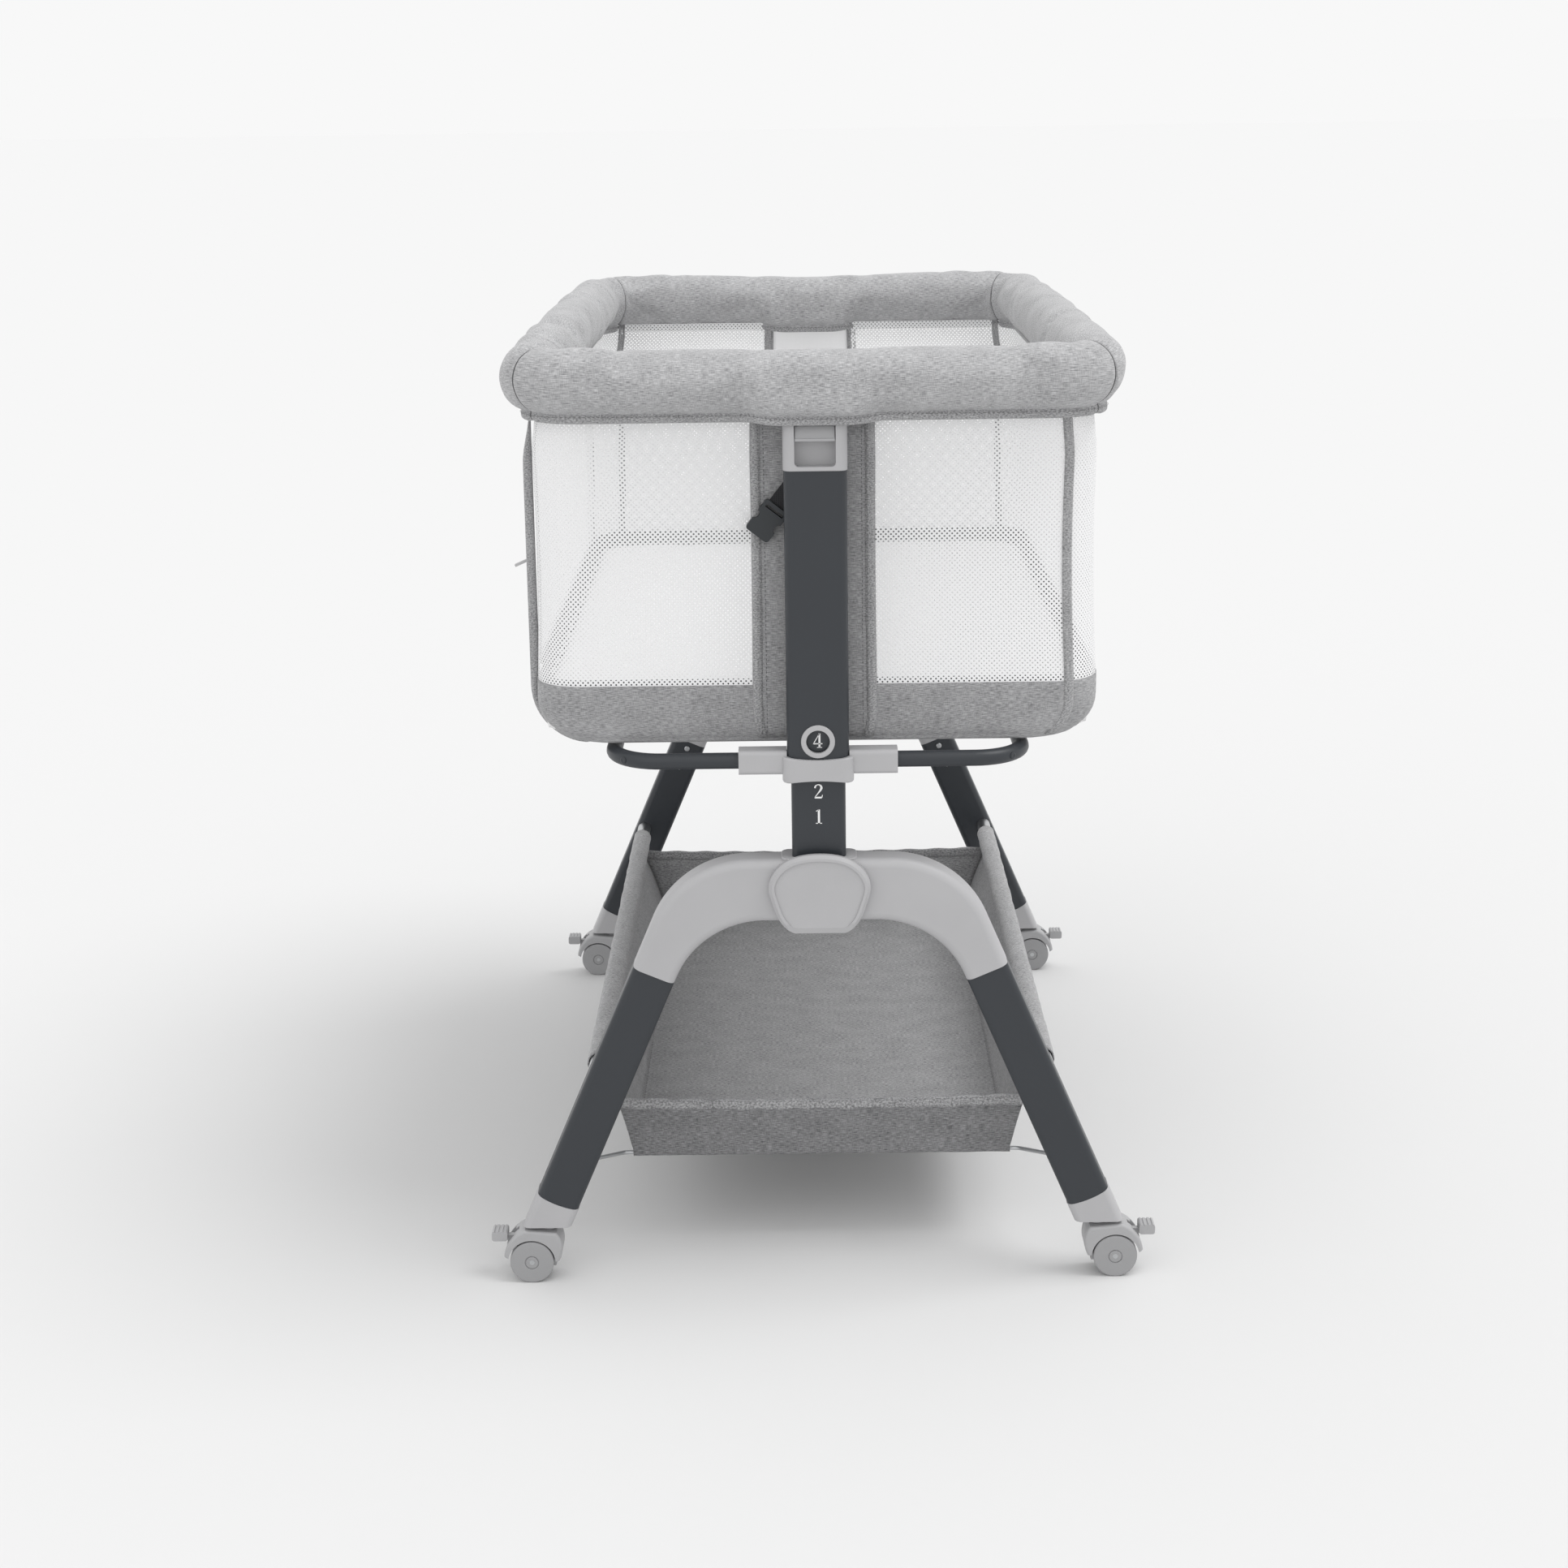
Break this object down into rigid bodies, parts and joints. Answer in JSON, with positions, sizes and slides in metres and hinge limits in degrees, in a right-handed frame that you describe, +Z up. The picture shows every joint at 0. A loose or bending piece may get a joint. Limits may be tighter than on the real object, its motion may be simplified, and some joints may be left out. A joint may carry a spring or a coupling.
{
  "type": "bassinet on stand",
  "caption": "Bedside bassinet with padded rail, mesh walls and a drop side, on a splayed-leg stand with telescopic posts, swivel casters and an under-bed basket.",
  "frame": {"origin": "on the floor, under the centre of the overall box", "axes": "+Z up; +Y along the bed from the front end to the rear end; +X across the bed, the drop side faces -X; at rest the bed stands at the middle height setting"},
  "size_m": [0.6366, 0.8942, 0.8929],
  "materials": {
    "grey_plastic": "satin",
    "wheel_grey": "matte",
    "trigger_grey": "satin",
    "dark_tube": "satin",
    "steel": "satin",
    "rail_aluminium": "satin",
    "heather_fabric": "matte",
    "shell_fabric": "matte",
    "mesh_fabric": "matte",
    "mattress_fabric": "matte",
    "board": "matte",
    "zip_metal": "satin",
    "webbing": "matte",
    "buckle_plastic": "satin"
  },
  "bodies": {
    "stand": {"arch_front": "grey_plastic", "arch_rear": "grey_plastic", "basket": "heather_fabric", "basket_rod_front": "steel", "basket_rod_rear": "steel", "foot_cap_front_left": "grey_plastic", "foot_cap_front_right": "grey_plastic", "foot_cap_rear_left": "grey_plastic", "foot_cap_rear_right": "grey_plastic", "hub_cover_front": "grey_plastic", "hub_cover_rear": "grey_plastic", "leg_front_left": "dark_tube", "leg_front_right": "dark_tube", "leg_rear_left": "dark_tube", "leg_rear_right": "dark_tube", "leg_rivets": "steel", "lower_post_front": "dark_tube", "lower_post_rear": "dark_tube", "side_tube_left": "steel", "side_tube_right": "steel"},
    "bed": {"base_board": "board", "base_tube_left": "dark_tube", "base_tube_right": "dark_tube", "bed_shell": "shell_fabric", "buckle": "buckle_plastic", "collar_front": "grey_plastic", "collar_rear": "grey_plastic", "latch_housing_front": "grey_plastic", "latch_housing_rear": "grey_plastic", "lock_pins": "steel", "mattress": "mattress_fabric", "rail_pad": "heather_fabric", "rail_tube": "rail_aluminium", "strap": "webbing", "upper_post_front": "dark_tube", "upper_post_rear": "dark_tube", "window_ring_front": "grey_plastic", "window_ring_rear": "grey_plastic"},
    "drop_side": {"side_panel": "mesh_fabric", "side_rail_tube": "rail_aluminium", "side_rail_pad": "heather_fabric"},
    "zip_slider": {"zip_pull": "zip_metal"},
    "latch_front": {"latch_trigger_front": "trigger_grey"},
    "caster_front_left": {"caster_fork_front_left": "grey_plastic", "caster_axle_front_left": "steel"},
    "wheels_front_left": {"caster_wheels_front_left": "wheel_grey"},
    "pedal_front_left": {"brake_pedal_front_left": "grey_plastic"},
    "caster_front_right": {"caster_fork_front_right": "grey_plastic", "caster_axle_front_right": "steel"},
    "wheels_front_right": {"caster_wheels_front_right": "wheel_grey"},
    "pedal_front_right": {"brake_pedal_front_right": "grey_plastic"},
    "latch_rear": {"latch_trigger_rear": "trigger_grey"},
    "caster_rear_left": {"caster_fork_rear_left": "grey_plastic", "caster_axle_rear_left": "steel"},
    "wheels_rear_left": {"caster_wheels_rear_left": "wheel_grey"},
    "pedal_rear_left": {"brake_pedal_rear_left": "grey_plastic"},
    "caster_rear_right": {"caster_fork_rear_right": "grey_plastic", "caster_axle_rear_right": "steel"},
    "wheels_rear_right": {"caster_wheels_rear_right": "wheel_grey"},
    "pedal_rear_right": {"brake_pedal_rear_right": "grey_plastic"}
  },
  "joints": [
    {"name": "height_slide", "type": "slide", "parent": "stand", "child": "bed", "axis": [0, 0, 1], "range_m": [-0.072, 0.072]},
    {"name": "drop_side_hinge", "type": "hinge", "parent": "bed", "child": "drop_side", "pos_m": [-0.2655, 0, 0.58], "axis": [0, -1, 0], "range_deg": [0, 180]},
    {"name": "zip_slide", "type": "slide", "parent": "bed", "child": "zip_slider", "axis": [0, 0, 1], "range_m": [-0.1, 0.12]},
    {"name": "latch_press_front", "type": "slide", "parent": "bed", "child": "latch_front", "axis": [0, 0, 1], "range_m": [0, 0.006], "stiffness_N_per_m": 400, "springref_m": -0.004},
    {"name": "swivel_front_left", "type": "hinge", "parent": "stand", "child": "caster_front_left", "pos_m": [-0.26274, -0.42, 0.06], "axis": [0, 0, 1], "continuous": true},
    {"name": "wheel_spin_front_left", "type": "hinge", "parent": "caster_front_left", "child": "wheels_front_left", "pos_m": [-0.27974, -0.42, 0.021], "axis": [0, 1, 0], "continuous": true},
    {"name": "brake_front_left", "type": "hinge", "parent": "caster_front_left", "child": "pedal_front_left", "pos_m": [-0.29325, -0.42, 0.0415], "axis": [0, -1, 0], "range_deg": [0, 12]},
    {"name": "swivel_front_right", "type": "hinge", "parent": "stand", "child": "caster_front_right", "pos_m": [0.26274, -0.42, 0.06], "axis": [0, 0, 1], "continuous": true},
    {"name": "wheel_spin_front_right", "type": "hinge", "parent": "caster_front_right", "child": "wheels_front_right", "pos_m": [0.27974, -0.42, 0.021], "axis": [0, 1, 0], "continuous": true},
    {"name": "brake_front_right", "type": "hinge", "parent": "caster_front_right", "child": "pedal_front_right", "pos_m": [0.29325, -0.42, 0.0415], "axis": [0, 1, 0], "range_deg": [0, 12]},
    {"name": "latch_press_rear", "type": "slide", "parent": "bed", "child": "latch_rear", "axis": [0, 0, 1], "range_m": [0, 0.006], "stiffness_N_per_m": 400, "springref_m": -0.004},
    {"name": "swivel_rear_left", "type": "hinge", "parent": "stand", "child": "caster_rear_left", "pos_m": [-0.26274, 0.42, 0.06], "axis": [0, 0, 1], "continuous": true},
    {"name": "wheel_spin_rear_left", "type": "hinge", "parent": "caster_rear_left", "child": "wheels_rear_left", "pos_m": [-0.27974, 0.42, 0.021], "axis": [0, 1, 0], "continuous": true},
    {"name": "brake_rear_left", "type": "hinge", "parent": "caster_rear_left", "child": "pedal_rear_left", "pos_m": [-0.29325, 0.42, 0.0415], "axis": [0, -1, 0], "range_deg": [0, 12]},
    {"name": "swivel_rear_right", "type": "hinge", "parent": "stand", "child": "caster_rear_right", "pos_m": [0.26274, 0.42, 0.06], "axis": [0, 0, 1], "continuous": true},
    {"name": "wheel_spin_rear_right", "type": "hinge", "parent": "caster_rear_right", "child": "wheels_rear_right", "pos_m": [0.27974, 0.42, 0.021], "axis": [0, 1, 0], "continuous": true},
    {"name": "brake_rear_right", "type": "hinge", "parent": "caster_rear_right", "child": "pedal_rear_right", "pos_m": [0.29325, 0.42, 0.0415], "axis": [0, 1, 0], "range_deg": [0, 12]}
  ]
}
